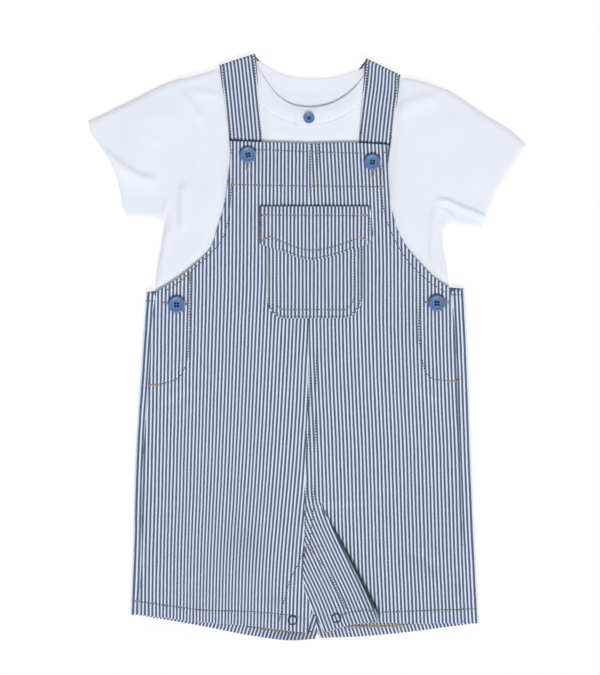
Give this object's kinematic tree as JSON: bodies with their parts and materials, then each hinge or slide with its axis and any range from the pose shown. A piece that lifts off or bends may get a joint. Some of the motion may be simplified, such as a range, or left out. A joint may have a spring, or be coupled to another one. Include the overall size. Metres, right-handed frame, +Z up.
{
  "type": "dungaree and t-shirt set",
  "caption": "Toddler's striped bib dungaree shorts with straps, patch pocket and side openings, laid flat over a plain short-sleeved T-shirt with a neck tab.",
  "frame": {"origin": "centre of the set's bounding box in plan, at the height of the surface it lies on", "axes": "+Y along the garments from the leg hems towards the shoulders, +Z up out of the front of the set, +X to the viewer's right when seen from above"},
  "size_m": [0.3934, 0.5273, 0.0101],
  "materials": {
    "striped_cotton": "woven cotton, narrow blue and white stripes along the length",
    "white_jersey": "matt knitted cotton jersey",
    "blue_button": "satin moulded plastic",
    "navy_enamel": "enamelled press-stud ring"
  },
  "bodies": {
    "root": {"dungaree_back_left": "striped_cotton", "dungaree_back_right": "striped_cotton", "dungaree_front_left": "striped_cotton", "dungaree_front_right": "striped_cotton", "strap_left": "striped_cotton", "strap_right": "striped_cotton", "pocket": "striped_cotton", "pocket_flap": "striped_cotton", "tee_back": "white_jersey", "tee_front": "white_jersey", "sleeve_left": "white_jersey", "sleeve_right": "white_jersey", "neckband": "white_jersey", "neck_tab": "white_jersey", "button_bib_left": "blue_button", "button_bib_right": "blue_button", "button_side_left": "blue_button", "button_side_right": "blue_button", "button_neck": "blue_button", "snap_left": "navy_enamel", "snap_right": "navy_enamel"}
  },
  "joints": []
}
